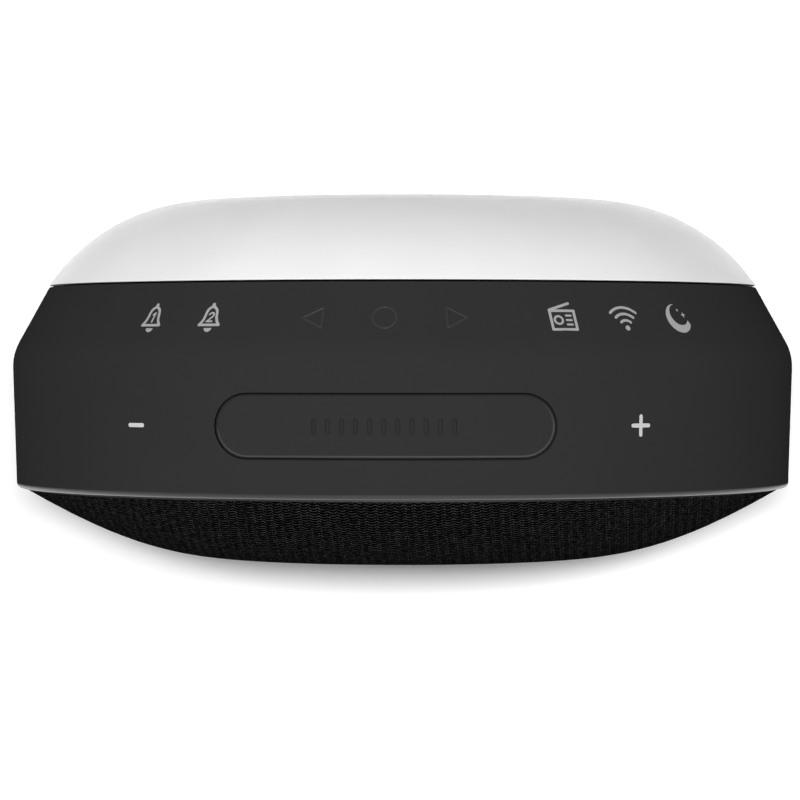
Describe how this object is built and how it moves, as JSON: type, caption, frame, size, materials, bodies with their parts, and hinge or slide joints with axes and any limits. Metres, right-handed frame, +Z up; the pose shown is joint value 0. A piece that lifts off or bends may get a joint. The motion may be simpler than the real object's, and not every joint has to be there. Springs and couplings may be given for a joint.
{
  "type": "speaker alarm clock",
  "caption": "Round bedside clock radio with a cloth speaker front and display, a white light dome at the back, and sprung keys and a snooze bar along the top.",
  "frame": {"origin": "on the table under the middle of the body", "axes": "+Z up, -Y out of the cloth front with the display, +X to the right seen from the front"},
  "size_m": [0.183, 0.0834, 0.159],
  "materials": {
    "soft_touch_black": "soft-touch satin black",
    "key_black": "soft-touch satin black, marks printed in grey",
    "grille_cloth": "black knitted grille cloth",
    "dome_white": "glossy opal white diffuser",
    "chassis_white": "matt white reflector plastic",
    "inner_black": "matt black moulding",
    "bezel_black": "satin black moulding",
    "smoked_window": "smoked glossy window",
    "display_black": "matt black display face",
    "display_light": "white light-emitting face",
    "circuit_board": "green circuit board",
    "component_black": "black component epoxy",
    "flex_copper": "copper coloured",
    "steel": "zinc plated steel",
    "magnet": "plated magnet steel",
    "gasket_foam": "black foam rubber",
    "cone_paper": "black coated cone",
    "foot_rubber": "matt black rubber"
  },
  "bodies": {
    "clock_body": {"band_housing": "soft_touch_black", "foot_pad": "foot_rubber", "grille_frame": "inner_black", "grille_cloth": "grille_cloth", "front_baffle": "inner_black", "baffle_screws": "steel", "display_bezel": "bezel_black", "display_lens": "smoked_window", "display_panel": "display_black", "display_segments": "display_light", "display_board": "circuit_board", "rear_light_dome": "dome_white", "rear_chassis": "chassis_white", "chassis_screws": "steel", "led_board": "chassis_white", "led_chips": "display_light", "port_panel": "bezel_black", "port_board": "circuit_board", "dc_jack": "bezel_black", "dc_jack_pin": "steel", "usb_sockets": "steel", "usb_tongues": "chassis_white", "main_board": "circuit_board", "board_components": "component_black", "board_screws": "steel", "key_bracket": "inner_black", "key_circuit": "flex_copper", "tact_switches": "steel", "bracket_screws": "steel", "driver_gaskets": "gasket_foam", "driver_screws": "steel", "display_ribbon": "chassis_white", "port_ribbon": "chassis_white", "speaker_leads": "flex_copper", "left_driver_frame": "inner_black", "left_driver_magnet": "magnet", "left_driver_surround": "gasket_foam", "right_driver_frame": "inner_black", "right_driver_magnet": "magnet", "right_driver_surround": "gasket_foam"},
    "snooze_bar": {"snooze_bar": "key_black"},
    "key_alarm_1": {"key_alarm_1": "key_black"},
    "key_alarm_2": {"key_alarm_2": "key_black"},
    "key_previous": {"key_previous": "key_black"},
    "key_play": {"key_play": "key_black"},
    "key_next": {"key_next": "key_black"},
    "key_radio": {"key_radio": "key_black"},
    "key_wireless": {"key_wireless": "key_black"},
    "key_sleep": {"key_sleep": "key_black"},
    "key_volume_down": {"key_volume_down": "key_black"},
    "key_volume_up": {"key_volume_up": "key_black"},
    "left_cone": {"left_driver_cone": "cone_paper", "left_driver_dust_cap": "cone_paper", "left_driver_voice_coil": "flex_copper"},
    "right_cone": {"right_driver_cone": "cone_paper", "right_driver_dust_cap": "cone_paper", "right_driver_voice_coil": "flex_copper"}
  },
  "joints": [
    {"name": "snooze_press", "type": "slide", "parent": "clock_body", "child": "snooze_bar", "axis": [0, 0, -1], "range_m": [0, 0.0008], "stiffness_N_per_m": 1500},
    {"name": "key_alarm_1_press", "type": "slide", "parent": "clock_body", "child": "key_alarm_1", "axis": [0.5144, -0.484, -0.708], "range_m": [0, 0.0004], "stiffness_N_per_m": 1500},
    {"name": "key_alarm_2_press", "type": "slide", "parent": "clock_body", "child": "key_alarm_2", "axis": [0.3809, -0.484, -0.7879], "range_m": [0, 0.0004], "stiffness_N_per_m": 1500},
    {"name": "key_previous_press", "type": "slide", "parent": "clock_body", "child": "key_previous", "axis": [0.155, -0.484, -0.8613], "range_m": [0, 0.0004], "stiffness_N_per_m": 1500},
    {"name": "key_play_press", "type": "slide", "parent": "clock_body", "child": "key_play", "axis": [0, -0.484, -0.8751], "range_m": [0, 0.0004], "stiffness_N_per_m": 1500},
    {"name": "key_next_press", "type": "slide", "parent": "clock_body", "child": "key_next", "axis": [-0.155, -0.484, -0.8613], "range_m": [0, 0.0004], "stiffness_N_per_m": 1500},
    {"name": "key_radio_press", "type": "slide", "parent": "clock_body", "child": "key_radio", "axis": [-0.3809, -0.484, -0.7879], "range_m": [0, 0.0004], "stiffness_N_per_m": 1500},
    {"name": "key_wireless_press", "type": "slide", "parent": "clock_body", "child": "key_wireless", "axis": [-0.5144, -0.484, -0.708], "range_m": [0, 0.0004], "stiffness_N_per_m": 1500},
    {"name": "key_sleep_press", "type": "slide", "parent": "clock_body", "child": "key_sleep", "axis": [-0.6316, -0.484, -0.6057], "range_m": [0, 0.0004], "stiffness_N_per_m": 1500},
    {"name": "key_volume_down_press", "type": "slide", "parent": "clock_body", "child": "key_volume_down", "axis": [0.6012, 0.0321, -0.7984], "range_m": [0, 0.0004], "stiffness_N_per_m": 1500},
    {"name": "key_volume_up_press", "type": "slide", "parent": "clock_body", "child": "key_volume_up", "axis": [-0.6012, 0.0321, -0.7984], "range_m": [0, 0.0004], "stiffness_N_per_m": 1500},
    {"name": "left_cone_excursion", "type": "slide", "parent": "clock_body", "child": "left_cone", "axis": [0, -1, 0], "range_m": [-0.0015, 0.0015], "stiffness_N_per_m": 900},
    {"name": "right_cone_excursion", "type": "slide", "parent": "clock_body", "child": "right_cone", "axis": [0, -1, 0], "range_m": [-0.0015, 0.0015], "stiffness_N_per_m": 900}
  ]
}
